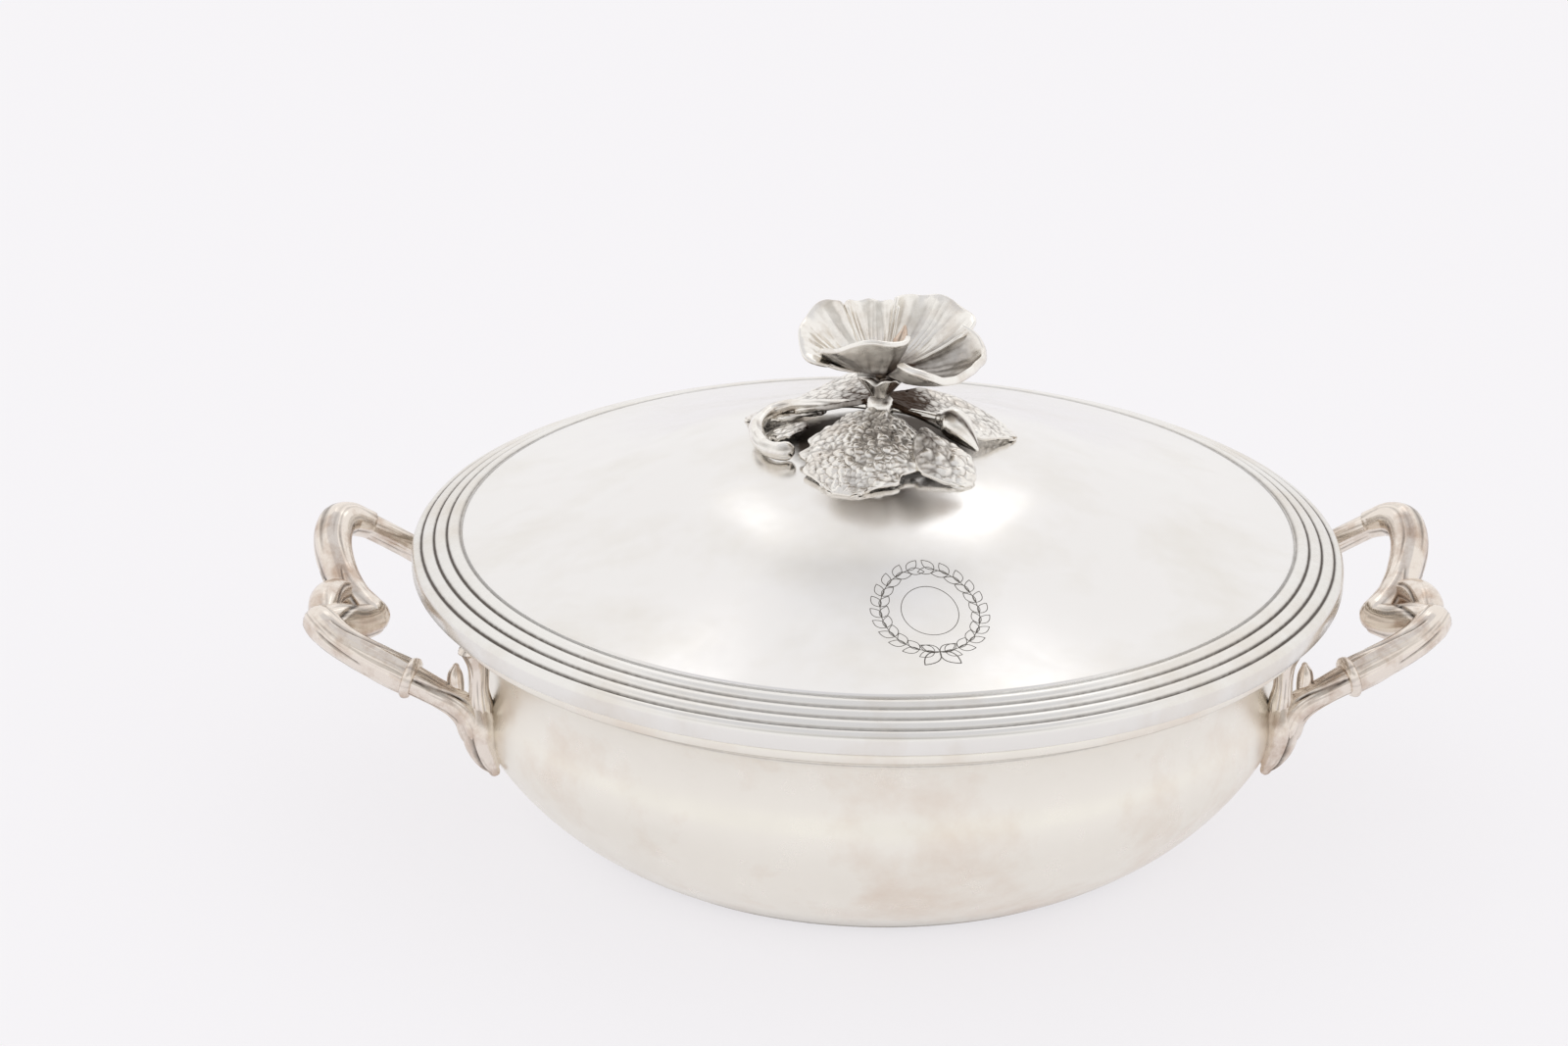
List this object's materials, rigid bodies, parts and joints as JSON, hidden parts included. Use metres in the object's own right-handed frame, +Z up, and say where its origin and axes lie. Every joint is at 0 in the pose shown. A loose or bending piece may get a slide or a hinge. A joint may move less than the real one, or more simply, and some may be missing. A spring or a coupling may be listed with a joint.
{
  "type": "covered dish",
  "caption": "Round covered serving dish of silver-plated metal with a reeded lift-off cover, a flower finial among leaves and branch-shaped side handles.",
  "frame": {"origin": "middle of the flat base, where the dish stands", "axes": "+Z up, +X towards the right handle, -Y towards the side that the picture shows"},
  "size_m": [0.2936, 0.24, 0.1336],
  "materials": {
    "bright_silver": "polished silver plate",
    "worn_silver": "worn silver plate with tarnish",
    "handle_silver": "worn silver plate, warm where the base metal shows",
    "oxidised_silver": "cast silver plate, dark in its hollows",
    "plain_brass": "unplated brass"
  },
  "bodies": {
    "dish": {"bowl_shell": "worn_silver", "rim_moulding": "worn_silver", "left_bud_stub": "handle_silver", "left_collar": "handle_silver", "left_far_pad": "handle_silver", "left_far_root": "handle_silver", "left_far_stalk": "handle_silver", "left_knot_end": "handle_silver", "left_knot_stem": "handle_silver", "left_near_branch": "handle_silver", "left_near_leg": "handle_silver", "left_near_pad": "handle_silver", "left_near_root": "handle_silver", "left_thick_branch": "handle_silver", "right_bud_stub": "handle_silver", "right_collar": "handle_silver", "right_far_pad": "handle_silver", "right_far_root": "handle_silver", "right_far_stalk": "handle_silver", "right_knot_end": "handle_silver", "right_knot_stem": "handle_silver", "right_near_branch": "handle_silver", "right_near_leg": "handle_silver", "right_near_pad": "handle_silver", "right_near_root": "handle_silver", "right_thick_branch": "handle_silver"},
    "cover": {"bud_stalk": "oxidised_silver", "calyx": "oxidised_silver", "cover_seat": "worn_silver", "cover_shell": "bright_silver", "curl_tendril": "oxidised_silver", "finial_stem": "oxidised_silver", "finial_stud": "plain_brass", "finial_washer": "plain_brass", "leaf_back": "oxidised_silver", "leaf_front": "oxidised_silver", "leaf_inner": "oxidised_silver", "leaf_left": "oxidised_silver", "leaf_right_back": "oxidised_silver", "leaf_right_front": "oxidised_silver", "leaf_stalk": "oxidised_silver", "petal_back": "oxidised_silver", "petal_front": "oxidised_silver", "petal_left": "oxidised_silver", "petal_right_back": "oxidised_silver", "petal_right_front": "oxidised_silver", "pistil": "oxidised_silver", "reeded_border": "bright_silver", "right_bud": "oxidised_silver"},
    "wing_nut": {"wing_nut": "plain_brass"}
  },
  "joints": [
    {"name": "cover_lift", "type": "slide", "parent": "dish", "child": "cover", "axis": [0, 0, 1], "range_m": [0, 0.08]},
    {"name": "wing_nut_turn", "type": "hinge", "parent": "cover", "child": "wing_nut", "pos_m": [0, 0, 0.093], "axis": [0, 0, 1], "continuous": true}
  ]
}
